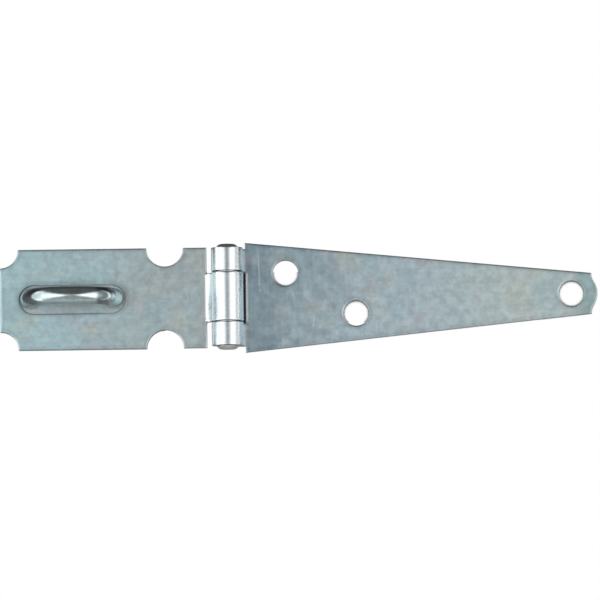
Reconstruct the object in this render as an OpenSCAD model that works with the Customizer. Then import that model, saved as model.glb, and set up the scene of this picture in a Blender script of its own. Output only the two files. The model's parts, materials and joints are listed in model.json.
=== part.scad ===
// Hinge hasp with a tapered strap. A slotted leaf swings on a fixed pin and closes flat over a
// wire staple, which stands on its own screwed plate and takes a padlock.
// The back of the strap and the back of the staple plate lie on the mounting plane, z = 0.
// The origin is on that plane, in the middle of the closed hasp's footprint.
// +X runs from the leaf towards the strap's tip, and +Y runs along the pin.

/* [Sheet] */
// Thickness of the pressed sheet of the strap, the leaf and the staple plate
sheet_t = 1.7; // [1.5:0.1:1.8]

/* [Hinge] */
// Diameter of the hinge pin
pin_d = 6.35; // [5.5:0.05:6.5]
// Radial clearance between the pin and the curled knuckles
pin_gap = 0.05; // [0.02:0.01:0.1]
// Height of the pin's axis above the mounting plane
pin_h = 5.6; // [5.4:0.1:6]
// Length of the barrel, which is the three knuckles and the two gaps between them
barrel_len = 30.2; // [26:0.2:31]
// Length of the leaf's middle knuckle
mid_knuckle_len = 15.2; // [12:0.2:17]
// Gap between two neighbouring knuckles
knuckle_gap = 0.35; // [0.1:0.05:0.6]
// Diameter of the pin's peened heads
head_d = 7; // [6.8:0.1:8]
// Height of the pin's peened heads
head_h = 1.2; // [0.8:0.1:1.5]

/* [Strap] */
// Distance from the pin's axis to the strap's tip
strap_reach = 114.3; // [110:0.1:130]
// Width of the strap beside the hinge
strap_w = 34; // [33:0.1:36]
// Width of the strap at the shoulders of its tip
tip_w = 12.6; // [12:0.1:16]
// Radius of the rounded nose between the tip's shoulders
nose_r = 6.5; // [6:0.1:7]
// How far the rounded nose stands out past the tip's shoulders
nose_out = 1.8; // [1:0.1:2.4]
// Distance from the pin's axis to the edge of the strap between its knuckles
strap_edge = 5.5; // [5.2:0.1:5.8]
// Diameter of the three bolt holes
bolt_hole_d = 7.8; // [6:0.1:8]

/* [Hasp leaf] */
// Distance from the pin's axis to the leaf's free end
leaf_reach = 70.3; // [69:0.1:76]
// Width of the leaf
leaf_w = 31.1; // [30:0.1:33]
// Distance from the pin's axis to the leaf's two shoulders
leaf_shoulder = 6.4; // [6:0.1:6.6]
// Radius of the scallops in the leaf's corners and long edges
scallop_r = 5.7; // [4:0.1:6]
// Distance from the pin's axis to the scallops in the long edges
scallop_x = 19.3; // [18:0.1:20]
// Width of the slot
slot_w = 8.8; // [8:0.1:10]
// Distance from the pin's axis to the near end of the slot
slot_near = 31.5; // [31:0.1:31.8]
// Distance from the pin's axis to the far end of the slot
slot_far = 64.3; // [64.2:0.1:65]
// Gap between the closed leaf and the staple plate
leaf_gap = 0.05; // [0.02:0.01:0.1]

/* [Staple] */
// Diameter of the staple's wire
wire_d = 5.55; // [4.5:0.05:5.6]
// Distance between the centres of the staple's legs
leg_pitch = 25.6; // [24.5:0.1:25.8]
// Distance from the pin's axis to the staple's centre
staple_x = 48; // [47.9:0.05:48.1]
// Height of the staple's top above the mounting plane
staple_h = 21; // [19:0.5:24]
// Radius of the wire's centre line in the staple's two corners
corner_r = 10; // [8:0.5:11]
// Radius of the wire's centre line along the staple's arched top
crown_r = 18; // [15:1:30]
// Diameter of the rivet ends that go through the staple plate
rivet_d = 4.4; // [3.6:0.1:4.6]
// Distance between the staple plate's screw holes, along the leaf
screw_pitch_x = 30; // [28:0.5:31]
// Distance between the staple plate's screw holes, across the leaf
screw_pitch_y = 19.6; // [18:0.2:20]
// Diameter of the staple plate's screw holes
screw_hole_d = 4.2; // [3.5:0.1:4.4]
// Diameter of the countersinks at the plate's front
sink_d = 6.8; // [6.2:0.1:7]

/* [Hidden] */
$fn = 64;
zinc = [0.62, 0.70, 0.73];
bright_zinc = [0.80, 0.84, 0.87];
dark_zinc = [0.52, 0.59, 0.62];
// amount by which a cutter stands out past the sheet it cuts
past = 1;
// clearance between a rivet end and its hole, as a radius
rivet_gap = 0.05;
// the origin is in the middle of the footprint, so the pin's axis is off to the leaf's side
hinge_x = (leaf_reach - strap_reach) / 2;
pin_r = pin_d / 2;
bore_r = pin_r + pin_gap;
barrel_r = bore_r + sheet_t;
mid_half = mid_knuckle_len / 2;
outer_start = mid_half + knuckle_gap;
outer_len = barrel_len / 2 - outer_start;
leaf_z = sheet_t + leaf_gap;
// the leaf's bend runs all the way up to the level of the pin
leaf_bend_r = pin_h - leaf_z - sheet_t;
// radius of the curled sheet's middle, and height of the pin's axis above the middle of the flat strap
curl_r = bore_r + sheet_t / 2;
strap_rise = pin_h - sheet_t / 2;
// the strap sweeps up to its curl along an arc that is level at its edge and runs into the curl
sweep_r = (pow(strap_edge, 2) + pow(strap_rise, 2) - pow(curl_r, 2)) / (2 * (strap_rise - curl_r));
sweep_angle = atan(strap_edge / (sweep_r - strap_rise));
// where each curl's free end is, in degrees around the pin from the +X direction
strap_curl_end = -46;
leaf_curl_end = 325;
// bolt holes as distance from the pin's axis and offset from the strap's centre line
bolt_holes = [[18, 7.5], [39.7, -5.2], [106.3, 0]];
// the staple plate's corner scallops lie under those of the leaf
plate_len = leaf_reach - scallop_x;
plate_x = (leaf_reach + scallop_x) / 2;
wire_r = wire_d / 2;
// a hair wider than the wire, so that the lengths it joins close into one solid
seam_r = wire_r + 0.02;
// the top's arc runs into each corner's arc at this angle off the vertical
crown_angle = asin((leg_pitch / 2 - corner_r) / (crown_r - corner_r));
rivet_r = rivet_d / 2;
// depth and extra radius of the rim that the rivet's end is peened out to
peen_h = 0.8;
screw_r = screw_hole_d / 2;
sink_r = sink_d / 2;

// moves what is drawn around the pin's axis to its place in the part
module in_place() {
    translate([hinge_x, 0, 0]) children();
}

// ring of curled sheet around the pin, open between two angles below the +X direction
module curl_ring(open_from, open_to) {
    reach = 2 * barrel_r;
    middle = (open_from + open_to) / 2;
    translate([0, pin_h]) difference() {
        circle(barrel_r);
        circle(bore_r);
        polygon([
            [0, 0],
            reach * [cos(open_from), sin(open_from)],
            reach * [cos(middle), sin(middle)],
            reach * [cos(open_to), sin(open_to)]
        ]);
    }
}

// section of a sheet that lies to the right, sweeps up under the pin and curls round the far side and over
module under_curl() {
    reach = 2 * sweep_r;
    curl_ring(strap_curl_end, -90 - sweep_angle);
    translate([strap_edge, sheet_t / 2 + sweep_r]) intersection() {
        difference() {
            circle(sweep_r + sheet_t / 2, $fn = 360);
            circle(sweep_r - sheet_t / 2, $fn = 360);
        }
        polygon([[0, 0], [-reach * sin(sweep_angle), -reach * cos(sweep_angle)], [0, -reach]]);
    }
}

// section of a sheet that lies to the right, bends up beside the pin and curls over it and down the far side
module over_curl() {
    neck_x = barrel_r + leaf_bend_r;
    outside_r = leaf_bend_r + sheet_t;
    curl_ring(0, leaf_curl_end - 360);
    translate([neck_x, pin_h]) intersection() {
        difference() {
            circle(outside_r);
            circle(leaf_bend_r);
        }
        translate([-outside_r, -outside_r]) square(outside_r);
    }
}

// length of a section drawn in the plane across the pin, from start along +Y
module along_pin(start, len) {
    translate([0, start + len, 0]) rotate([90, 0, 0]) linear_extrude(len) children();
}

module strap_outline() {
    shoulder = strap_reach - nose_out;
    polygon([
        [strap_edge, -strap_w / 2],
        [shoulder, -tip_w / 2],
        [shoulder, tip_w / 2],
        [strap_edge, strap_w / 2]
    ]);
    translate([strap_reach - nose_r, 0]) circle(nose_r);
}

module strap() {
    color(zinc) in_place() difference() {
        union() {
            linear_extrude(sheet_t) strap_outline();
            for (start = [-outer_start - outer_len, outer_start]) {
                along_pin(start, outer_len) under_curl();
            }
        }
        for (hole = bolt_holes) {
            translate([hole.x, hole.y, -past]) cylinder(h = sheet_t + 2 * past, d = bolt_hole_d);
        }
    }
}

// round-ended slot along X, between two distances from the pin's axis
module slot_outline() {
    r = slot_w / 2;
    translate([slot_near + r, 0]) circle(r);
    translate([slot_far - r, 0]) circle(r);
    translate([slot_near + r, -r]) square([slot_far - slot_near - slot_w, slot_w]);
}

module leaf_outline() {
    difference() {
        translate([leaf_shoulder, -leaf_w / 2]) square([leaf_reach - leaf_shoulder, leaf_w]);
        for (side = [-1, 1], x = [scallop_x, leaf_reach]) {
            translate([x, side * leaf_w / 2]) circle(scallop_r);
        }
        slot_outline();
        // the knuckle's bend takes this strip out of the flat sheet
        translate([leaf_shoulder - past, -mid_half]) {
            square([barrel_r + leaf_bend_r - leaf_shoulder + past, mid_knuckle_len]);
        }
    }
}

// drawn to the right of the pin and mirrored, because the leaf lies on the -X side
module hasp_leaf() {
    color(zinc) in_place() mirror([1, 0, 0]) {
        translate([0, 0, leaf_z]) linear_extrude(sheet_t) leaf_outline();
        along_pin(-mid_half, mid_knuckle_len) over_curl();
    }
}

// low dome on a short rim, peened over the barrel's end
module pin_head() {
    rim_h = 0.2;
    head_r = head_d / 2;
    dome_h = head_h - rim_h;
    dome_r = (head_r * head_r + dome_h * dome_h) / (2 * dome_h);
    rotate_extrude() intersection() {
        translate([0, head_h - dome_r]) circle(dome_r);
        square([head_r, head_h]);
    }
}

module hinge_pin() {
    color(bright_zinc) in_place() translate([0, 0, pin_h]) {
        rotate([90, 0, 0]) cylinder(h = barrel_len, r = pin_r, center = true);
        for (turn = [0, 180]) {
            rotate([0, 0, turn]) translate([0, -barrel_len / 2, 0]) rotate([90, 0, 0]) pin_head();
        }
    }
}

// screw hole through the staple plate, countersunk from the front
module screw_hole() {
    sink_depth = sink_r - screw_r;
    translate([0, 0, -past]) cylinder(h = sheet_t + 2 * past, r = screw_r);
    translate([0, 0, sheet_t - sink_depth]) cylinder(h = sink_depth, r1 = screw_r, r2 = sink_r);
}

// rivet end of the staple, or the hole for it: straight, with a rim that widens to the plate's back
module rivet_shape(r, reach) {
    translate([0, 0, -reach]) cylinder(h = sheet_t + 2 * reach, r = r);
    cylinder(h = peen_h, r1 = r + peen_h, r2 = r);
}

module staple_plate() {
    color(dark_zinc) in_place() translate([-plate_x, 0, 0]) difference() {
        linear_extrude(sheet_t) difference() {
            square([plate_len, leaf_w], center = true);
            for (x = [-1, 1], y = [-1, 1]) {
                translate([x * plate_len / 2, y * leaf_w / 2]) circle(scallop_r);
            }
        }
        for (x = [-1, 1], y = [-1, 1]) {
            translate([x * screw_pitch_x / 2, y * screw_pitch_y / 2, 0]) screw_hole();
        }
        for (side = [-1, 1]) {
            translate([plate_x - staple_x + side * leg_pitch / 2, 0, 0]) {
                rivet_shape(rivet_r + rivet_gap, past);
            }
        }
    }
}

// length of wire bent round a centre, from one angle to another above the +X direction
module bent_wire(bend_r, from, to) {
    rotate([90, 0, 0]) rotate([0, 0, from]) rotate_extrude(angle = to - from) {
        translate([bend_r, 0]) circle(wire_r);
    }
}

// leg, corner and rivet end on the +X side of the staple, with a ball where two lengths of wire meet
module staple_side(corner_z) {
    leg_x = leg_pitch / 2;
    translate([leg_x, 0, sheet_t]) cylinder(h = corner_z - sheet_t, r = wire_r);
    translate([leg_x, 0, corner_z]) sphere(seam_r);
    translate([leg_x - corner_r, 0, corner_z]) {
        bent_wire(corner_r, 0, 90 - crown_angle);
        rotate([0, crown_angle, 0]) translate([0, 0, corner_r]) sphere(seam_r);
    }
    translate([leg_x, 0, 0]) rivet_shape(rivet_r, 0);
}

module staple() {
    crown_centre_z = staple_h - wire_r - crown_r;
    corner_z = crown_centre_z + (crown_r - corner_r) * cos(crown_angle);
    color(bright_zinc) in_place() translate([-staple_x, 0, 0]) {
        translate([0, 0, crown_centre_z]) bent_wire(crown_r, 90 - crown_angle, 90 + crown_angle);
        staple_side(corner_z);
        mirror([1, 0, 0]) staple_side(corner_z);
    }
}

strap();
hasp_leaf();
hinge_pin();
staple_plate();
staple();
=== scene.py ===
import json
import math

import bpy
import numpy as np
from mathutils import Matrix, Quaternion, Vector, noise
from mathutils.geometry import delaunay_2d_cdt


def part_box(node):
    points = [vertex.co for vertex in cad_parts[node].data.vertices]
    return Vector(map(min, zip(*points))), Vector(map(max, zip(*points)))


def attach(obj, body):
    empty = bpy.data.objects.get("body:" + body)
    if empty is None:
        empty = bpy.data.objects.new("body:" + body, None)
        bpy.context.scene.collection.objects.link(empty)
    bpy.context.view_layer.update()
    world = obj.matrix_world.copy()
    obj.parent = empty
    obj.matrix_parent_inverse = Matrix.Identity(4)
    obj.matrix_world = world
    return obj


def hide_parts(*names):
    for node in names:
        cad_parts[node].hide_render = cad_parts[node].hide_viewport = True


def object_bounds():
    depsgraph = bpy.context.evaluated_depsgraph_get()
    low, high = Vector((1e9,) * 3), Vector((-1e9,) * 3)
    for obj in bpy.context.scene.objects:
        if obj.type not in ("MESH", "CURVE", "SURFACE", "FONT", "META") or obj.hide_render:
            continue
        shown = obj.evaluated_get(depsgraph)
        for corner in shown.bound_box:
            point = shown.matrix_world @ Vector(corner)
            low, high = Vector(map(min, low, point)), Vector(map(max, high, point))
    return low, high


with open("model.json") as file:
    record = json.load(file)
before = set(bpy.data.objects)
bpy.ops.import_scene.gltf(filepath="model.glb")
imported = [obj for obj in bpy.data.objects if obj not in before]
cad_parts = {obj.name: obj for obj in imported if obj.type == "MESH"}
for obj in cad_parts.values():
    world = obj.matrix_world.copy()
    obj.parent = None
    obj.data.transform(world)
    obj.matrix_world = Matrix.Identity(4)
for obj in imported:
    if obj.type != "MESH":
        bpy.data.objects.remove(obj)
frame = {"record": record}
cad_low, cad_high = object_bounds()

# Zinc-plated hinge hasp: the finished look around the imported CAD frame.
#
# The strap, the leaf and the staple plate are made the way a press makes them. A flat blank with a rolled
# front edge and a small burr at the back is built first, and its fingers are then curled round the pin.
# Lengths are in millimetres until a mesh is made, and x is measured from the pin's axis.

MM = 0.001

# ---------------------------------------------------------------- dimensions from the frame

joints = {j["name"]: j for j in frame["record"]["behaviour"]["joints"]}
mounts = {m["name"]: m for m in frame["record"]["mounts"]}
pin_x, _, pin_z = [v / MM for v in joints["leaf_swing"]["pos_m"]]


def box_mm(node):
    """Lowest and highest corner of a CAD node, in mm from the pin's axis."""
    low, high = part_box(node)
    shift = Vector((pin_x, 0, 0))
    return Vector(low) / MM - shift, Vector(high) / MM - shift


_, strap_high = box_mm("strap")
leaf_low, leaf_high = box_mm("hasp_leaf")
_, pin_high = box_mm("hinge_pin")
plate_low, plate_high = box_mm("staple_plate")
staple_low, staple_high = box_mm("staple")

sheet_t = plate_high.z - plate_low.z
barrel_r = strap_high.z - pin_z
bore_r = barrel_r - sheet_t
curl_r = (bore_r + barrel_r) / 2
# the closed leaf rests just over the staple plate
leaf_z = plate_high.z + 0.05

# ---------------------------------------------------------------- dimensions of the outlines

BARREL_HALF = 15.1
MID_HALF = 7.6
KNUCKLE_GAP = 0.35
STRAP_EDGE = 5.5
STRAP_CURL_END = math.radians(-46)
TIP_HALF = 6.3
NOSE_R = 6.5
NOSE_OUT = 1.8
LEAF_SHOULDER = 6.4
LEAF_CURL = math.radians(325)
SCALLOP_R = 5.7
SCALLOP_X = 19.3
SLOT_HALF = 4.4
SLOT_NEAR = 31.5
SLOT_FAR = 64.3
RIVET_R = 2.2
RIVET_GAP = 0.05
PEEN_H = 0.8
SINK_R = 3.4
PIN_R = 3.175
WIRE_R = 2.775
CORNER_R = 10.0
CROWN_R = 18.0

# the press leaves a rolled front edge, this wide and this deep, and a small burr at the back
ROLL_W = 0.5
ROLL_D = 0.3
BURR = 0.07

# distance to the rim that wire and pin are given, far enough for the rim's shade not to show
AWAY_FROM_RIM = 9.0

# spacing of the mesh: along flat edges, along curled edges, over a flat face and over a curled finger
FLAT_EDGE = 1.1
CURLED_EDGE = 0.32
FLAT_FACE = 1.3
CURLED_FACE = 0.95


# ---------------------------------------------------------------- outlines and blanks

def arc(cx, cy, r, start, end, steps):
    """Points on an arc, angles in degrees, both ends included."""
    angles = np.radians(np.linspace(start, end, steps + 1))
    return [(cx + r * math.cos(a), cy + r * math.sin(a)) for a in angles]


def subdivide(points, longest):
    """The closed loop with every segment cut so that none is longer than longest(middle of the segment)."""
    out = []
    for i, p in enumerate(points):
        q = points[(i + 1) % len(points)]
        length = math.dist(p, q)
        cuts = max(1, math.ceil(length / longest((p[0] + q[0]) / 2)))
        out += [(p[0] + (q[0] - p[0]) * k / cuts, p[1] + (q[1] - p[1]) * k / cuts) for k in range(cuts)]
    return out


def without_repeats(points):
    """The closed loop without points that lie on the one before."""
    out = []
    for i, p in enumerate(points):
        if math.dist(p, points[i - 1]) > 1e-4:
            out.append(p)
    return out


def inward(points):
    """Mitred direction into the material at each point. The material is on the loop's left."""
    p = np.array(points)
    before, after = p - np.roll(p, 1, 0), np.roll(p, -1, 0) - p
    normals = []
    for d in (before, after):
        d = d / np.linalg.norm(d, axis=1)[:, None]
        normals.append(np.c_[-d[:, 1], d[:, 0]])
    middle = normals[0] + normals[1]
    middle /= np.linalg.norm(middle, axis=1)[:, None]
    cosine = np.clip((middle * normals[1]).sum(1), 0.45, 1)
    return middle / cosine[:, None]


def clear_corners(points, clear=0.9):
    """The loop without points next to a sharp outward corner, so that the inner rings don't fold over."""
    p = np.array(points)
    before, after = p - np.roll(p, 1, 0), np.roll(p, -1, 0) - p
    turn = np.arctan2(before[:, 0] * after[:, 1] - before[:, 1] * after[:, 0], (before * after).sum(1))
    corners = turn > math.radians(25)
    apart = np.sqrt(((p[:, None] - p[None, corners]) ** 2).sum(2)).min(1)
    return [tuple(q) for q, corner, d in zip(p, corners, apart) if corner or d > clear]


def sheared_edge(roll_w=ROLL_W, roll_d=ROLL_D):
    """Profile of a punched edge as (distance into the material, height), from the back to the front."""
    wall_top = sheet_t - roll_d
    profile = [(BURR + 0.25, 0), (BURR, 0), (0.02, 0.03), (0, BURR)]
    profile += [(0.03, 0.45 * wall_top), (0, 0.6 * wall_top)]
    for a in np.radians(np.linspace(0, 90, 7)):
        profile.append((roll_w * (1 - math.cos(a)), wall_top + roll_d * math.sin(a)))
    return profile + [(roll_w + 0.3, sheet_t)]


def countersunk_edge(screw_r, sink_r):
    """Profile of a screw hole that is countersunk from the front."""
    depth = sink_r - screw_r
    land = sheet_t - depth
    return [
        (BURR + 0.25, 0), (BURR, 0), (0, BURR), (0, land - 0.05), (0.03, land + 0.02),
        (depth / 2, land + depth / 2),
        (depth - 0.03, sheet_t - 0.03), (depth + 0.05, sheet_t), (depth + 0.3, sheet_t),
    ]


def rivet_edge():
    """Profile of a rivet hole that is opened out at the back."""
    return [
        (PEEN_H + 0.3, 0), (PEEN_H + 0.04, 0), (PEEN_H - 0.03, 0.03), (0.02, PEEN_H - 0.02),
        (0, PEEN_H + 0.05), (0, sheet_t - 0.06), (0.05, sheet_t), (0.35, sheet_t),
    ]


def inside(points, loops):
    """Which points are within the region that the loops bound, by the even-odd rule."""
    p = np.asarray(points)
    odd = np.zeros(len(p), bool)
    for loop in loops:
        a = np.asarray(loop)
        b = np.roll(a, -1, 0)
        for (x0, y0), (x1, y1) in zip(a, b):
            if y0 == y1:
                continue
            crosses = (y0 > p[:, 1]) != (y1 > p[:, 1])
            odd ^= crosses & (p[:, 0] < (x1 - x0) * (p[:, 1] - y0) / (y1 - y0) + x0)
    return odd


def distance_to(points, loops):
    """Distance from each point to the nearest loop vertex."""
    verts = np.concatenate([np.asarray(loop) for loop in loops])
    return np.sqrt(((points[:, None] - verts[None]) ** 2).sum(2)).min(1)


def fill(loops, extra):
    """Triangles over the region between the loops, using the extra inner points, as (points, triangles).
    The first points are the loops' own, in order."""
    # the same rounding as in the triangulation, so that both agree on which side of an edge a sliver lies
    loops = [np.asarray(loop, np.float32).astype(float) for loop in loops]
    keep = inside(extra, loops) & (distance_to(extra, loops) > 0.28)
    points = [tuple(p) for loop in loops for p in loop] + [tuple(p) for p in extra[keep]]
    edges = []
    start = 0
    for loop in loops:
        n = len(loop)
        edges += [(start + i, start + (i + 1) % n) for i in range(n)]
        start += n
    found, _, faces, origin, _, _ = delaunay_2d_cdt([Vector(p) for p in points], edges, [], 0, 1e-7)
    faces = [f for f in faces if len(f) == 3]
    centres = np.array([[sum(found[i][k] for i in f) / 3 for k in (0, 1)] for f in faces])
    ok = inside(centres, loops)
    source = [o[0] if o else None for o in origin]
    return points, [[source[i] for i in f] for f, good in zip(faces, ok) if good]


def sheet_mesh(name, loops, grid_points, place, mirrored=False):
    """Closed mesh of a pressed sheet. A loop is (points, edge profile, widening at each point), and place
    maps (u, v, height) to mm."""
    uvh, faces, edge = [], [], []
    first_rings, last_rings = [], []
    extra = [grid_points]
    for points, profile, widen in loops:
        base = np.array(points)
        push = inward(points)
        wide = np.array([widen(x, y) for x, y in points])[:, None]
        n = len(points)
        start = len(uvh)
        for inset, height in profile:
            ring = base + push * inset * (wide if height > sheet_t / 2 else 1)
            uvh += [(x, y, height) for x, y in ring]
            on_wall = 0.0 if height in (0, sheet_t) else 1.0
            edge += [on_wall] * n
        for r in range(len(profile) - 1):
            low, high = start + r * n, start + (r + 1) * n
            for i in range(n):
                j = (i + 1) % n
                faces.append((low + i, low + j, high + j, high + i))
        first_rings.append((base + push * profile[0][0], start))
        last_rings.append((base + push * profile[-1][0] * wide, start + (len(profile) - 1) * n))
        extra += [base + push * (profile[-1][0] * wide + more) for more in (0.4, 0.85)]
    inner = thinned(np.concatenate(extra))
    for rings, height, flip in ((first_rings, 0, True), (last_rings, sheet_t, False)):
        points, triangles = fill([r[0] for r in rings], inner)
        index = [s + i for ring, s in rings for i in range(len(ring))]
        for p in points[len(index):]:
            index.append(len(uvh))
            uvh.append((p[0], p[1], height))
            edge.append(0.0)
        for t in triangles:
            t = [index[i] for i in t]
            faces.append(t[::-1] if flip else t)
    if mirrored:
        faces = [tuple(f)[::-1] for f in faces]
    rim = distance_to(np.array(uvh)[:, :2], [loop[0] for loop in loops])
    return finished(name, [Vector(place(*p)) for p in uvh], faces, skin=uvh, cut=edge, rim=rim)


def thinned(points, closest=0.3):
    """The points without those that lie in the same small cell as an earlier one."""
    cells = np.floor(points / closest).astype(int)
    _, first = np.unique(cells, axis=0, return_index=True)
    return points[np.sort(first)]


def give(mesh, name, kind, field, values):
    """Stores one value per vertex for the material to read."""
    layer = mesh.attributes.new(name, kind, "POINT")
    layer.data.foreach_set(field, np.array(values, dtype=np.float32).ravel())


def finished(name, verts, faces, skin, cut, rim, sharp=50):
    """Object from vertices in mm, with smooth shading that is sharp only over an angle in degrees. The
    material reads the place on the flat blank, whether it is a cut edge, and the distance to the rim."""
    mesh = bpy.data.meshes.new(name)
    mesh.from_pydata([(v + Vector((pin_x, 0, 0))) * MM for v in verts], [], faces)
    give(mesh, "skin", "FLOAT_VECTOR", "vector", skin)
    give(mesh, "cut", "FLOAT", "value", cut)
    give(mesh, "rim", "FLOAT", "value", rim)
    mesh.validate()
    mesh.update()
    mesh.shade_smooth()
    mesh.set_sharp_from_angle(angle=math.radians(sharp))
    obj = bpy.data.objects.new(name, mesh)
    bpy.context.scene.collection.objects.link(obj)
    weighted = obj.modifiers.new("even shading", "WEIGHTED_NORMAL")
    weighted.keep_sharp = True
    return obj


def grid(low, high, step):
    """Staggered points over a rectangle."""
    out = []
    rows = int((high[1] - low[1]) / step) + 1
    for r in range(rows + 1):
        y = low[1] + r * step
        x = low[0] + (step / 2 if r % 2 else 0)
        while x < high[0]:
            out.append((x, y))
            x += step
    return out


class Curl:
    """Bends the fingers of a blank round the pin. A finger starts to bend at u = neck, and its free end is
    at u = end."""

    def __call__(self, u, v, h):
        """Place of a blank's point, as x, y, z with the blank's own side towards +x."""
        if u >= self.neck:
            return u, v, self.base_z + h
        x, z = self.bent(self.neck - u, h)
        # the web beside a finger stays flat, and is pulled up a little where it meets the finger
        off = min(max(low - v, v - high, 0) for low, high in self.fingers)
        w = max(0.0, 1 - off / 0.7) ** 2
        return u + (x - u) * w, v, self.base_z + h + (z - self.base_z - h) * w

    def stations(self):
        """Points down each finger, close enough together to curl smoothly, and staggered so that the faces
        around each one are alike."""
        out = []
        for row, u in enumerate(np.arange(self.end + 0.4, self.neck + 0.8, CURLED_EDGE)):
            for low, high in self.fingers:
                count = round((high - low) / CURLED_FACE)
                step = (high - low) / count
                out += [(u, low + step * (i + row % 2 / 2)) for i in range(count + 1)]
        return out


class OverCurl(Curl):
    """Up beside the pin, over it and down the far side, with the blank's back against the pin."""

    def __init__(self, base_z, curl, fingers):
        self.base_z, self.fingers = base_z, fingers
        self.bend_r = pin_z - base_z - sheet_t
        self.neck = barrel_r + self.bend_r
        self.bend_len = (self.bend_r + sheet_t / 2) * math.pi / 2
        self.end = self.neck - self.bend_len - curl_r * curl

    def bent(self, s, h):
        """Place of a point that is s past the neck and h above the blank's back, as x, z."""
        if s < self.bend_len:
            a = s / (self.bend_r + sheet_t / 2)
            r = self.bend_r + sheet_t - h
            return self.neck - r * math.sin(a), pin_z - r * math.cos(a)
        a = (s - self.bend_len) / curl_r
        r = bore_r + h
        return r * math.cos(a), pin_z + r * math.sin(a)


class UnderCurl(Curl):
    """In a gentle sweep under the pin, up its far side and over it, with the blank's front against it."""

    def __init__(self, neck, curl_end, fingers):
        self.base_z, self.neck, self.fingers = 0.0, neck, fingers
        rise = pin_z - sheet_t / 2
        self.sweep_r = (neck ** 2 + rise ** 2 - curl_r ** 2) / (2 * (rise - curl_r))
        sweep = math.atan(neck / (self.sweep_r - rise))
        self.sweep_len = self.sweep_r * sweep
        self.curl_start = 1.5 * math.pi - sweep
        self.end = neck - self.sweep_len - curl_r * (self.curl_start - curl_end)

    def bent(self, s, h):
        """Place of a point that is s past the neck and h above the blank's back, as x, z."""
        if s < self.sweep_len:
            a = s / self.sweep_r
            r = self.sweep_r + sheet_t / 2 - h
            return self.neck - r * math.sin(a), self.sweep_r + sheet_t / 2 - r * math.cos(a)
        a = self.curl_start - (s - self.sweep_len) / curl_r
        r = barrel_r - h
        return r * math.cos(a), pin_z + r * math.sin(a)


def spacing(curl):
    """Longest segment along a blank's outline: short where it curls, longer where it stays flat."""
    return lambda u: CURLED_EDGE if u < curl.neck + 0.5 else FLAT_EDGE


# ---------------------------------------------------------------- pieces

def blank_edge(outline, longest):
    """A blank's outline, ready for its rings."""
    return clear_corners(subdivide(without_repeats(outline), longest))


def same(u, v):
    """Edge profile as it is given."""
    return 1.0


def near(value, place, width):
    """1 at a place and smoothly down to 0 at a width from it."""
    return max(0.0, 1 - abs(value - place) / width) ** 2


def leaf_roll(u, v):
    """The leaf's free end is rolled over more, most of all on the near side."""
    end = near(u, -leaf_low.x, 0.2) * min(1.0, max(0.0, 9.4 - abs(v)) / 1.8)
    return 1 + end * (1.0 + 0.9 * near(v, -7.5, 6) + 0.25 * noise.noise(Vector((0, v * 0.5, 0))))


def strap_roll(u, v):
    """The strap's edge between its knuckles is rolled over more."""
    return 1 + 0.6 * near(u, STRAP_EDGE, 0.2) * (1.0 if abs(v) < MID_HALF - 0.3 else 0.0)


def uneven_hole(cx, r):
    """A hole whose roll is wider on the side of the hinge, as a punch that leans a little leaves it."""
    return lambda u, v: 1.0 + 0.55 * max(-1.0, min(1.0, (cx - u) / r))


def make_strap():
    """Tapered strap with a rounded nose and three bolt holes, and a finger on each side of the leaf's."""
    outer = MID_HALF + KNUCKLE_GAP
    curl = UnderCurl(STRAP_EDGE, STRAP_CURL_END, [(-BARREL_HALF, -outer), (outer, BARREL_HALF)])
    half, shoulder = strap_high.y, strap_high.x - NOSE_OUT
    nose = math.degrees(math.acos((NOSE_R - NOSE_OUT) / NOSE_R))
    outline = [(STRAP_EDGE, -half), (shoulder, -TIP_HALF)]
    outline += arc(strap_high.x - NOSE_R, 0, NOSE_R, -nose, nose, 24)
    outline += [(shoulder, TIP_HALF), (STRAP_EDGE, half)]
    finger = [(STRAP_EDGE, BARREL_HALF), (curl.end, BARREL_HALF), (curl.end, outer), (STRAP_EDGE, outer)]
    outline += finger + [(u, -v) for u, v in finger[::-1]]
    loops = [(blank_edge(outline, spacing(curl)), sheared_edge(), strap_roll)]
    for name in ("strap_hole_upper", "strap_hole_lower", "strap_hole_tip"):
        x, y, _ = [v / MM for v in mounts[name]["pos_m"]]
        r = mounts[name]["dims"]["r_mm"]
        ring = arc(x - pin_x, y, r, 360, 0, 72)[:-1]
        loops.append((ring, sheared_edge(0.55, 0.30), uneven_hole(x - pin_x, r)))
    inner = np.array(grid((curl.neck + 1, -half), (strap_high.x, half), FLAT_FACE) + curl.stations())
    return sheet_mesh("strap_sheet", loops, inner, curl)


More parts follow.
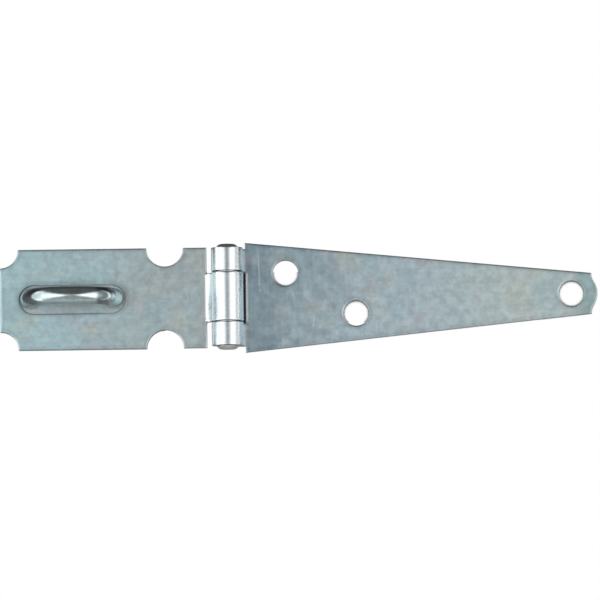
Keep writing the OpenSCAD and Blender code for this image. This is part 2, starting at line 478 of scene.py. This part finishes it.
def make_leaf():
    """Leaf with a slot, scalloped corners and edges, and one finger in the middle."""
    curl = OverCurl(leaf_z, LEAF_CURL, [(-MID_HALF, MID_HALF)])
    reach, half = -leaf_low.x, leaf_high.y
    outline = [(LEAF_SHOULDER, -half)]
    outline += arc(SCALLOP_X, -half, SCALLOP_R, 180, 0, 40)
    outline += arc(reach, -half, SCALLOP_R, 180, 90, 22)
    outline += arc(reach, half, SCALLOP_R, 270, 180, 22)
    outline += arc(SCALLOP_X, half, SCALLOP_R, 360, 180, 40)
    outline += [(LEAF_SHOULDER, half), (LEAF_SHOULDER, MID_HALF), (curl.end, MID_HALF)]
    outline += [(curl.end, -MID_HALF), (LEAF_SHOULDER, -MID_HALF)]
    slot = arc(SLOT_FAR - SLOT_HALF, 0, SLOT_HALF, 90, -90, 30)
    slot += arc(SLOT_NEAR + SLOT_HALF, 0, SLOT_HALF, 270, 90, 30)
    loops = [
        (blank_edge(outline, spacing(curl)), sheared_edge(), leaf_roll),
        (subdivide(slot, spacing(curl)), sheared_edge(0.3, 0.2), same),
    ]
    inner = np.array(grid((curl.neck + 1, -half), (reach, half), FLAT_FACE) + curl.stations())

    def place(u, v, h):
        x, y, z = curl(u, v, h)
        return -x, y, z

    return sheet_mesh("hasp_leaf_sheet", loops, inner, place, mirrored=True)


def make_plate():
    """Staple plate with scalloped corners, four countersunk screw holes and two rivet holes."""
    low_x, high_x, half = plate_low.x, plate_high.x, plate_high.y
    outline = arc(low_x, -half, SCALLOP_R, 90, 0, 22) + arc(high_x, -half, SCALLOP_R, 180, 90, 22)
    outline += arc(high_x, half, SCALLOP_R, 270, 180, 22) + arc(low_x, half, SCALLOP_R, 0, -90, 22)
    loops = [(blank_edge(outline, lambda u: FLAT_EDGE), sheared_edge(), same)]
    screws = mounts["staple_plate_screws"]
    cx = screws["pos_m"][0] / MM - pin_x
    dx, dy, r = [screws["dims"][k] for k in ("spacing_x_mm", "spacing_y_mm", "hole_r_mm")]
    for sx in (-1, 1):
        for sy in (-1, 1):
            ring = arc(cx + sx * dx / 2, sy * dy / 2, r, 360, 0, 56)[:-1]
            loops.append((ring, countersunk_edge(r, SINK_R), same))
    for leg in leg_centres():
        loops.append((arc(leg, 0, RIVET_R + RIVET_GAP, 360, 0, 48)[:-1], rivet_edge(), same))
    inner = np.array(grid((low_x, -half), (high_x, half), FLAT_FACE))
    return sheet_mesh("staple_plate_sheet", loops, inner, lambda u, v, h: (u, v, h))


def leg_centres():
    """Where the staple's two legs stand, the one further from the pin first."""
    return staple_low.x + WIRE_R, staple_high.x - WIRE_R


def tube(name, stations, around):
    """Closed mesh through rings. Each station is (centre, side axis, up axis, radius at an angle)."""
    verts, faces = [], []
    for centre, side, up, radius in stations:
        for k in range(around):
            a = 2 * math.pi * k / around
            verts.append(centre + (side * math.cos(a) + up * math.sin(a)) * radius(a))
    for s in range(len(stations) - 1):
        for k in range(around):
            j = (k + 1) % around
            faces.append((s * around + k, s * around + j, (s + 1) * around + j, (s + 1) * around + k))
    for ring, flip in ((0, True), (len(stations) - 1, False)):
        centre = len(verts)
        verts.append(stations[ring][0])
        for k in range(around):
            f = (centre, ring * around + k, ring * around + (k + 1) % around)
            faces.append(f[::-1] if flip else f)
    count = len(verts)
    return finished(name, verts, faces, skin=verts, cut=[0.0] * count, rim=[AWAY_FROM_RIM] * count)


def make_staple():
    """Wire bent over two corners and a gently arched top, its ends riveted and peened in the plate."""
    r = WIRE_R
    left, right = leg_centres()
    middle, leg = (left + right) / 2, (right - left) / 2
    lean = math.asin((leg - CORNER_R) / (CROWN_R - CORNER_R))
    crown_z = staple_high.z - r - CROWN_R
    corner_z = crown_z + (CROWN_R - CORNER_R) * math.cos(lean)
    side = []
    # rivet end, from the peened rim at the back up to the shoulder that sits on the plate
    rim = RIVET_R + PEEN_H
    ends = [(0.0, rim * 0.55), (0.0, rim * 0.9), (0.03, rim - 0.02), (0.1, rim - 0.1)]
    ends += [(PEEN_H, RIVET_R), (sheet_t, RIVET_R), (sheet_t + 0.005, RIVET_R + 0.2)]
    ends += [(sheet_t + 0.01, r - 0.12), (sheet_t + 0.12, r - 0.02), (sheet_t + 0.3, r)]
    for z, radius in ends:
        side.append((leg, z, 0.0, radius))
    for z in np.linspace(sheet_t + 0.8, corner_z, 14):
        side.append((leg, z, 0.0, r))
    for a in np.linspace(0, math.pi / 2 - lean, 22)[1:]:
        side.append((leg - CORNER_R + CORNER_R * math.cos(a), corner_z + CORNER_R * math.sin(a), a, r))
    for a in np.linspace(math.pi / 2 - lean, math.pi / 2, 12)[1:]:
        side.append((CROWN_R * math.cos(a), crown_z + CROWN_R * math.sin(a), a, r))
    path = side + [(-x, z, math.pi - a, radius) for x, z, a, radius in side[-2::-1]]
    stations = []
    for x, z, a, radius in path:
        outward = Vector((math.cos(a), 0, math.sin(a)))
        stations.append((Vector((middle + x, 0, z)), outward, Vector((0, 1, 0)), lambda _, q=radius: q))
    return tube("staple_wire", stations, 40)


def make_pin():
    """Pin with both ends hammered out to low domes over the knuckles."""
    head_r, reach = pin_high.x, pin_high.y
    rise = reach - BARREL_HALF
    half = [(y, PIN_R) for y in (0.0, MID_HALF - 0.5, MID_HALF + 1, BARREL_HALF - 1, BARREL_HALF - 0.02)]
    half += [(BARREL_HALF + 0.005, PIN_R + 0.1)]
    half += [(BARREL_HALF + 0.03, head_r - 0.12), (BARREL_HALF + 0.14, head_r - 0.01)]
    # the hammered end is a low cone with rounded edges and a slightly domed face
    cone_h, cone_r = 1.2, 3.5
    cone = [(0.24, 3.44), (0.32, 3.38), (0.55, 3.16), (0.80, 2.90), (0.98, 2.68), (1.08, 2.50)]
    cone += [(1.14, 2.30), (1.17, 2.0), (1.185, 1.5), (1.195, 1.0), (1.2, 0.5)]
    half += [(BARREL_HALF + rise * dy / cone_h, head_r * q / cone_r) for dy, q in cone]
    stations = []
    for y, radius in [(-y, q) for y, q in half[::-1]] + half[1:]:
        hammered = 0.05 if abs(y) > BARREL_HALF + 0.2 else 0.0

        def uneven(a, y=y, q=radius, hammered=hammered):
            return q - hammered * (0.5 + noise.noise(Vector((q * math.cos(a), y, q * math.sin(a)))))

        stations.append((Vector((0, y, pin_z)), Vector((1, 0, 0)), Vector((0, 0, -1)), uneven))
    return tube("hinge_pin_peened", stations, 48)


# ---------------------------------------------------------------- materials

class Nodes:
    """Short names for the node calls a material needs."""

    def __init__(self, name):
        self.material = bpy.data.materials.new(name)
        self.material.use_nodes = True
        self.tree = self.material.node_tree
        self.tree.nodes.clear()

    def add(self, kind, **settings):
        node = self.tree.nodes.new(kind)
        for key, value in settings.items():
            setattr(node, key, value)
        return node

    def link(self, source, target):
        self.tree.links.new(source, target)

    def value(self, socket, given):
        """Sets a socket to a number or colour, or links it to another node's output."""
        if isinstance(given, bpy.types.NodeSocket):
            self.link(given, socket)
        else:
            socket.default_value = given

    def grey(self, level):
        node = self.add("ShaderNodeCombineColor")
        for socket in node.inputs:
            self.value(socket, level)
        return node.outputs[0]

    def math(self, operation, a, b=0.0, clamp=False):
        node = self.add("ShaderNodeMath", operation=operation, use_clamp=clamp)
        self.value(node.inputs[0], a)
        self.value(node.inputs[1], b)
        return node.outputs[0]

    def mix(self, factor, a, b, blend="MIX"):
        """Mixes two colours. Their sockets are inputs 6 and 7 and output 2 of the node."""
        node = self.add("ShaderNodeMix", data_type="RGBA", blend_type=blend)
        self.value(node.inputs["Factor"], factor)
        self.value(node.inputs[6], a)
        self.value(node.inputs[7], b)
        return node.outputs[2]

    def diffuse(self, level):
        node = self.add("ShaderNodeBsdfDiffuse")
        self.value(node.inputs["Color"], self.grey(level))
        return node.outputs[0]

    def shader_mix(self, factor, a, b):
        node = self.add("ShaderNodeMixShader")
        for socket, given in zip(node.inputs, (factor, a, b)):
            self.value(socket, given)
        return node.outputs[0]

    def patch(self, vector, scale, offset, strength):
        """Soft patches over a small part of the surface."""
        return self.ramp(self.noise(vector, scale, 3, 0.5, offset=offset), 0.52, 0.72, 0.0, strength)

    def ramp(self, factor, low, high, low_value=0.0, high_value=1.0):
        """Goes smoothly from one value to another while the factor goes from low to high."""
        node = self.add("ShaderNodeMapRange", interpolation_type="SMOOTHSTEP")
        self.value(node.inputs["Value"], factor)
        limits = {"From Min": low, "From Max": high, "To Min": low_value, "To Max": high_value}
        for key, value in limits.items():
            self.value(node.inputs[key], value)
        return node.outputs[0]

    def noise(self, vector, scale, detail=4.0, roughness=0.55, stretch=None, turn=0.0, offset=0.0):
        mapping = self.add("ShaderNodeMapping")
        self.link(vector, mapping.inputs["Vector"])
        mapping.inputs["Scale"].default_value = stretch or (1, 1, 1)
        mapping.inputs["Rotation"].default_value = (0, 0, turn)
        mapping.inputs["Location"].default_value = (offset, offset * 0.7, offset * 1.3)
        node = self.add("ShaderNodeTexNoise")
        self.link(mapping.outputs[0], node.inputs["Vector"])
        node.inputs["Scale"].default_value = scale
        node.inputs["Detail"].default_value = detail
        node.inputs["Roughness"].default_value = roughness
        return node.outputs["Fac"]


def stroke(n, skin, x, y, half_len, lean):
    """Mask of one fine scratch across the sheet, around a point."""
    along = n.math("SUBTRACT", across(n, skin, "Y"), y)
    off = n.math("SUBTRACT", across(n, skin), n.math("ADD", n.math("MULTIPLY", along, lean), x))
    ends = n.ramp(n.math("ABSOLUTE", along), half_len * 0.6, half_len, 1.0, 0.0)
    return n.math("MULTIPLY", n.ramp(n.math("ABSOLUTE", off), 0.08, 0.30, 1.0, 0.0), ends)


# the plate's finish; the burnished tint also paints a highlight strip on the strap
BURNISHED_AND_HIGHLIGHT_ZINC = (0.745, 0.785, 0.80, 1)
CUT_ZINC = (0.42, 0.47, 0.49, 1)
SCRATCHED_ZINC = (0.88, 0.92, 0.93, 1)
MARKED_ZINC = (0.90, 0.93, 0.92, 1)
PINK_CLOUD = (0.66, 0.60, 0.64, 1)
YELLOW_CLOUD = (0.66, 0.70, 0.58, 1)
BLUE_CLOUD = (0.46, 0.66, 0.72, 1)
BUMP_STRENGTH = 0.2
BUMP_HEIGHT = 0.03 * MM


def zinc(name, colour, burnished, gloss=0.38, seed=0.0, scratch=1.0, marks=()):
    """Bright zinc plate: softly clouded, with faint colours, fine scratches, dull cut edges and painted
    shade along the rims. colour and burnished are functions of the node helper and the skin coordinates, in
    mm on the flat blank; on the strap, burnished also carries a painted highlight strip."""
    n = Nodes(name)
    skin = n.add("ShaderNodeAttribute", attribute_name="skin").outputs["Vector"]
    cut = n.add("ShaderNodeAttribute", attribute_name="cut").outputs["Fac"]
    rim = n.add("ShaderNodeAttribute", attribute_name="rim").outputs["Fac"]
    clouds = n.noise(skin, 0.07, 3, 0.5, offset=seed)
    mottle = n.noise(skin, 0.38, 3, 0.55, offset=seed + 3)
    fleck = n.noise(skin, 0.85, 2, 0.5, offset=seed + 9)
    grain = n.noise(skin, 3.2, 3, 0.55, offset=seed + 5)
    rolled = n.noise(skin, 1.0, 3, 0.5, stretch=(0.07, 1.6, 1), offset=seed + 7)
    bright = burnished(n, skin)
    flat = n.math("SUBTRACT", 1.0, bright)

    tint = colour(n, skin, clouds)
    tint = n.mix(n.patch(skin, 0.12, seed + 11, 0.40), tint, PINK_CLOUD)
    tint = n.mix(n.patch(skin, 0.10, seed + 17, 0.40), tint, YELLOW_CLOUD)
    tint = n.mix(n.patch(skin, 0.09, seed + 19, 0.45), tint, BLUE_CLOUD)
    shade = n.ramp(mottle, 0.28, 0.72, 0.91, 1.07)
    shade = n.math("MULTIPLY", shade, n.ramp(fleck, 0.3, 0.72, 0.96, 1.06))
    shade = n.math("MULTIPLY", shade, n.ramp(rolled, 0.3, 0.7, 0.975, 1.02))
    # painted shade: the surface darkens within about 1.7 mm of every cut edge and hole
    shade = n.math("MULTIPLY", shade, n.ramp(rim, 0.45, 1.7, 0.86, 1.0))
    tint = n.mix(1.0, tint, n.grey(shade), "MULTIPLY")
    # lighter tint on the burnished fingers, and on the strap also the painted highlight strip
    tint = n.mix(n.math("MULTIPLY", bright, 0.85), tint, BURNISHED_AND_HIGHLIGHT_ZINC)
    tint = n.mix(n.math("MULTIPLY", cut, 0.25), tint, CUT_ZINC)

    lines = []
    for turn, offset in ((0.25, 21), (-0.5, 27), (1.45, 33)):
        line = n.noise(skin, 1.0, 2, 0.4, stretch=(0.10, 4.5, 1), turn=turn, offset=seed + offset)
        where = n.ramp(n.noise(skin, 0.09, 2, 0.5, offset=seed + offset + 2), 0.5, 0.66)
        lines.append(n.math("MULTIPLY", n.ramp(line, 0.66, 0.72), where))
    scratches = n.math("MAXIMUM", n.math("MAXIMUM", lines[0], lines[1]), lines[2])
    scratches = n.math("MULTIPLY", scratches, scratch)
    tint = n.mix(n.math("MULTIPLY", scratches, 0.22), tint, SCRATCHED_ZINC)
    for mark in marks:
        tint = n.mix(n.math("MULTIPLY", stroke(n, skin, *mark), 0.38), tint, MARKED_ZINC)

    rough = n.math("ADD", n.math("MULTIPLY", flat, gloss), n.math("MULTIPLY", bright, 0.27))
    rough = n.math("ADD", rough, n.math("MULTIPLY", n.math("SUBTRACT", mottle, 0.5), 0.16))
    rough = n.math("ADD", rough, n.math("MULTIPLY", cut, 0.06), clamp=True)

    height = n.math("MULTIPLY", grain, 0.12)
    height = n.math("ADD", height, n.math("MULTIPLY", rolled, 0.20))
    height = n.math("ADD", height, n.math("MULTIPLY", mottle, 0.50))
    height = n.math("MULTIPLY", height, n.math("SUBTRACT", 1.0, n.math("MULTIPLY", bright, 0.7)))
    height = n.math("SUBTRACT", height, n.math("MULTIPLY", scratches, 0.4))
    height = n.math("ADD", height, n.math("MULTIPLY", n.math("MULTIPLY", cut, grain), 0.5))
    bump = n.add("ShaderNodeBump")
    bump.inputs["Strength"].default_value = BUMP_STRENGTH
    bump.inputs["Distance"].default_value = BUMP_HEIGHT
    n.link(height, bump.inputs["Height"])

    shader = n.add("ShaderNodeBsdfPrincipled")
    shader.inputs["Metallic"].default_value = 1.0
    n.link(tint, shader.inputs["Base Color"])
    n.link(rough, shader.inputs["Roughness"])
    n.link(bump.outputs[0], shader.inputs["Normal"])
    out = n.add("ShaderNodeOutputMaterial")
    n.link(shader.outputs[0], out.inputs["Surface"])
    return n.material


def across(n, skin, axis="X"):
    """One coordinate of the flat blank: X away from the pin, Y along it."""
    split = n.add("ShaderNodeSeparateXYZ")
    n.link(skin, split.inputs[0])
    return split.outputs[axis]


def leaf_colour(n, skin, clouds):
    """Teal towards the free end and a more neutral grey towards the hinge."""
    where = n.math("ADD", across(n, skin), n.math("MULTIPLY", n.math("SUBTRACT", clouds, 0.5), 60))
    return n.mix(n.ramp(where, 12, 62), (0.56, 0.66, 0.68, 1), (0.56, 0.78, 0.83, 1))


def strap_colour(n, skin, clouds):
    """Dark blue beside the hinge, blue-grey in the middle and a greener grey towards the tip."""
    where = n.math("ADD", across(n, skin), n.math("MULTIPLY", n.math("SUBTRACT", clouds, 0.5), 36))
    near_hinge = n.mix(n.ramp(where, 0, 52), (0.34, 0.45, 0.515, 1), (0.575, 0.71, 0.765, 1))
    tint = n.mix(n.ramp(where, 50, 100), near_hinge, (0.66, 0.77, 0.77, 1))
    # streaks across the strap and dark blotches, fading out away from the hinge
    streaks = n.noise(skin, 1.0, 3, 0.6, stretch=(0.9, 0.10, 1), offset=61)
    blotches = n.noise(skin, 0.24, 3, 0.6, offset=67)
    uneven = n.math("ADD", n.math("MULTIPLY", streaks, 0.45), n.math("MULTIPLY", blotches, 0.75))
    fade = n.ramp(across(n, skin), 6, 62, 1.0, 0.25)
    level = n.math("ADD", 1.0, n.math("MULTIPLY", n.math("SUBTRACT", uneven, 0.60), fade))
    # a darker green grey past the hole at the tip
    end = n.ramp(across(n, skin), strap_high.x - 8.5, strap_high.x - 4.5)
    tint = n.mix(end, tint, (0.46, 0.63, 0.645, 1))
    return n.mix(1.0, tint, n.grey(level), "MULTIPLY")


def plate_colour(n, skin, clouds):
    """Even grey, on the staple plate and the pin."""
    return n.mix(n.ramp(clouds, 0.35, 0.65), (0.60, 0.68, 0.70, 1), (0.66, 0.74, 0.76, 1))


def wire_colour(n, skin, clouds):
    """Green grey, with painted shade round the bent corners and along the wire's outline."""
    tint = n.mix(n.ramp(clouds, 0.35, 0.65), (0.56, 0.69, 0.70, 1), (0.62, 0.73, 0.74, 1))
    x = across(n, skin)
    left, right = leg_centres()
    # painted shade over the bent corners near each leg
    bends = n.ramp(x, left + 1.4, left + 5.0, 0.40, 1.0)
    past_bend = n.math("ABSOLUTE", n.math("SUBTRACT", x, right - 3.1))
    bends = n.math("MULTIPLY", bends, n.ramp(past_bend, 1.0, 2.5, 0.38, 1.0))
    # painted shade along the outline, darker where the wire turns away from the view
    facing = n.add("ShaderNodeLayerWeight").outputs["Facing"]
    level = n.math("MULTIPLY", bends, n.ramp(facing, 0.40, 0.90, 1.0, 0.5))
    return n.mix(1.0, tint, n.grey(level), "MULTIPLY")


def knuckles(neck):
    """The fingers are burnished where they were curled."""
    return lambda n, skin: n.ramp(across(n, skin), neck - 0.6, neck + 0.9, 1.0, 0.0)


def strap_burnish_and_highlight(n, skin):
    """The strap's fingers are burnished, and the edge beside the leaf's knuckle gets a painted highlight: a
    lighter, glossier strip.
    """
    x = across(n, skin)
    y = n.math("ABSOLUTE", across(n, skin, "Y"))
    fingers = n.ramp(x, STRAP_EDGE - 0.6, STRAP_EDGE + 0.5, 1.0, 0.0)
    # painted highlight strip along the strap's edge beside the leaf's knuckle
    edge_highlight = n.ramp(x, STRAP_EDGE + 0.75, STRAP_EDGE + 1.1, 1.15, 0.0)
    beside_knuckle = n.ramp(y, MID_HALF - 0.3, MID_HALF + 0.2, 1.0, 0.0)
    return n.math("MAXIMUM", fingers, n.math("MULTIPLY", edge_highlight, beside_knuckle))


def all_over(level):
    """The same burnish everywhere."""
    return lambda n, skin: level


# ---------------------------------------------------------------- floor, light and camera

def make_floor():
    """White floor, with a painted shadow down the narrow gap beside the hinge's middle knuckle. Seen at a
    low angle it takes soft shadows, and in reflections it is painted dim, most of all on the far side."""
    size = 6.0
    just_under = cad_low.z - 0.0002
    mesh = bpy.data.meshes.new("floor")
    corners = [(-size, -size), (size, -size), (size, size), (-size, size)]
    mesh.from_pydata([(x, y, just_under) for x, y in corners], [], [(0, 1, 2, 3)])
    floor = bpy.data.objects.new("floor", mesh)
    bpy.context.scene.collection.objects.link(floor)
    n = Nodes("pale_floor")
    geometry = n.add("ShaderNodeNewGeometry")
    split = n.add("ShaderNodeSeparateXYZ")
    n.link(geometry.outputs["Position"], split.inputs[0])
    x, y, _ = split.outputs
    open_sky = n.add("ShaderNodeAmbientOcclusion", samples=16)
    open_sky.inputs["Distance"].default_value = 0.006
    right_of_pin = n.ramp(x, pin_x * MM, (pin_x + 2) * MM)
    beside_knuckle = n.ramp(n.math("ABSOLUTE", y), (MID_HALF + 0.2) * MM, (MID_HALF + 0.5) * MM, 1.0, 0.0)
    narrow = n.ramp(open_sky.outputs["AO"], 0.35, 0.60, 1.0, 0.0)
    # painted shadow: in the narrow gap right of the pin beside the middle knuckle the floor's glow drops to
    # 0.02
    gap_shadow = n.math("MULTIPLY", n.math("MULTIPLY", right_of_pin, beside_knuckle), narrow)
    glow = n.add("ShaderNodeEmission")
    n.link(n.ramp(gap_shadow, 0.0, 1.0, 1.0, 0.02), glow.inputs["Strength"])
    facing = n.add("ShaderNodeVectorMath", operation="DOT_PRODUCT")
    n.link(geometry.outputs["Normal"], facing.inputs[0])
    n.link(geometry.outputs["Incoming"], facing.inputs[1])
    from_above = n.ramp(facing.outputs["Value"], 0.3, 0.95, 0.45, 1.0)
    pale = n.shader_mix(from_above, n.diffuse(0.8), glow.outputs[0])
    # painted dark reflection: seen in reflections the floor's albedo drops from 0.42 to 0.10 towards the
    # far side
    mirrored = n.diffuse(n.ramp(y, -0.02, 0.03, 0.42, 0.10))
    seen = n.add("ShaderNodeLightPath").outputs["Is Camera Ray"]
    out = n.add("ShaderNodeOutputMaterial")
    n.link(n.shader_mix(seen, mirrored, pale), out.inputs["Surface"])
    mesh.materials.append(n.material)


class WorldNodes(Nodes):
    """The same short names for the world's nodes."""

    def __init__(self, name):
        self.world = bpy.data.worlds.new(name)
        self.world.use_nodes = True
        self.tree = self.world.node_tree
        self.tree.nodes.clear()


def make_tent():
    """A light tent with bright sides, a dim opening overhead for the camera, and a dark far side."""
    n = WorldNodes("light_tent")
    split = n.add("ShaderNodeSeparateXYZ")
    n.link(n.add("ShaderNodeTexCoord").outputs["Generated"], split.inputs[0])
    x, y, z = split.outputs
    ends = n.math("ADD", n.ramp(y, -0.1, 0.38, 0.37, 0.11), n.ramp(y, -0.98, -0.6, 0.15, 0.0))
    left = n.ramp(z, 0.05, 0.35, 2.3, 1.28)
    right = n.math("ADD", n.ramp(z, 0.25, 0.72, 0.66, 1.36), n.ramp(z, 0.03, 0.15, 1.6, 0.0))
    sides = n.mix(n.math("GREATER_THAN", x, 0.0), n.grey(left), n.grey(right))
    far = n.math("MINIMUM", n.math("MULTIPLY", y, 2.5), n.math("ADD", n.math("MULTIPLY", y, 0.6), 0.19))
    slant = n.math("MAXIMUM", n.math("MULTIPLY", y, -0.85), far)
    aside = n.math("SUBTRACT", n.math("ABSOLUTE", x), slant)
    # lower down the sides reach further round
    low = n.ramp(n.math("ABSOLUTE", x), 0.50, 0.72, 0.0, 0.6)
    low = n.math("MULTIPLY", low, n.ramp(z, 0.45, 0.60, 1.0, 0.0))
    light = n.mix(n.math("MAXIMUM", n.ramp(aside, -0.08, 0.22), low), n.grey(ends), sides)
    seen = n.add("ShaderNodeLightPath").outputs["Is Camera Ray"]
    light = n.mix(seen, light, (0.74, 0.74, 0.74, 1))
    background = n.add("ShaderNodeBackground")
    n.link(light, background.inputs["Color"])
    out = n.add("ShaderNodeOutputWorld")
    n.link(background.outputs[0], out.inputs["Surface"])
    bpy.context.scene.world = n.world


def make_softbox(name, side):
    """Softbox beside the object, aimed at it: side is 1 on the strap's side and -1 on the leaf's."""
    light = bpy.data.lights.new(name, "AREA")
    light.shape = "RECTANGLE"
    light.size = 0.7
    light.size_y = 1.0
    light.energy = 1.0
    obj = bpy.data.objects.new(name, light)
    obj.location = Vector((side * 0.8, -0.1, 1.1))
    obj.rotation_mode = "QUATERNION"
    obj.rotation_quaternion = (-obj.location).to_track_quat("-Z", "Y")
    bpy.context.scene.collection.objects.link(obj)


def make_camera():
    """Long lens nearly overhead, a few degrees towards the near side. The object fills the frame's width,
    and the leaf's end is at its left edge."""
    elevation = math.radians(85)
    roll = math.radians(-0.75)
    distance = 2.1
    width = (cad_high.x - cad_low.x) * 1.004
    aim = Vector((cad_low.x + width / 2, -0.00098, 0.002))
    back = Vector((0, -math.cos(elevation), math.sin(elevation)))
    data = bpy.data.cameras.new("camera")
    data.sensor_width = 36
    data.lens = data.sensor_width * distance / width
    camera = bpy.data.objects.new("camera", data)
    camera.location = aim + back * distance
    camera.rotation_mode = "QUATERNION"
    camera.rotation_quaternion = (-back).to_track_quat("-Z", "Y") @ Quaternion((0, 0, 1), roll)
    data.clip_start = 0.05
    data.clip_end = 50
    bpy.context.scene.collection.objects.link(camera)
    bpy.context.scene.camera = camera


# ---------------------------------------------------------------- assembly

def fit(piece, body, node, material):
    """Puts a piece on its body, in place of its CAD node."""
    piece.data.materials.append(material)
    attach(piece, body)
    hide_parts(node)


leaf_neck = OverCurl(leaf_z, LEAF_CURL, []).neck
# fine marks as (distance from the pin, offset from the middle, half length, lean)
strap_marks = [(9.8, 8.5, 6.5, -0.04), (10.1, 2.1, 0.7, 0.0)]
strap_marks += [(20.3, 0.8, 1.6, -0.25), (26.5, -7.5, 2.2, 0.1)]
leaf_marks = [(12.4, 0.7, 1.3, 0.3), (24.8, 6.2, 0.6, 0.0), (27.5, -8.0, 0.9, 0.5)]
strap_zinc = zinc("zinc_strap", strap_colour, strap_burnish_and_highlight, scratch=0.6, marks=strap_marks)
leaf_zinc = zinc("zinc_leaf", leaf_colour, knuckles(leaf_neck), seed=40, scratch=0.6, marks=leaf_marks)
pin_zinc = zinc("zinc_pin", plate_colour, all_over(1.0), 0.32, seed=80)
plate_zinc = zinc("zinc_plate", plate_colour, all_over(0.0), seed=120)
wire_zinc = zinc("zinc_wire", wire_colour, all_over(0.0), 0.17, seed=160, scratch=0.5)
fit(make_strap(), "strap_half", "strap", strap_zinc)
fit(make_leaf(), "leaf", "hasp_leaf", leaf_zinc)
fit(make_pin(), "strap_half", "hinge_pin", pin_zinc)
fit(make_plate(), "staple_half", "staple_plate", plate_zinc)
fit(make_staple(), "staple_half", "staple", wire_zinc)

make_floor()
make_tent()
make_softbox("softbox_left", -1)
make_softbox("softbox_right", 1)
make_camera()
bpy.context.scene.view_settings.view_transform = "Standard"
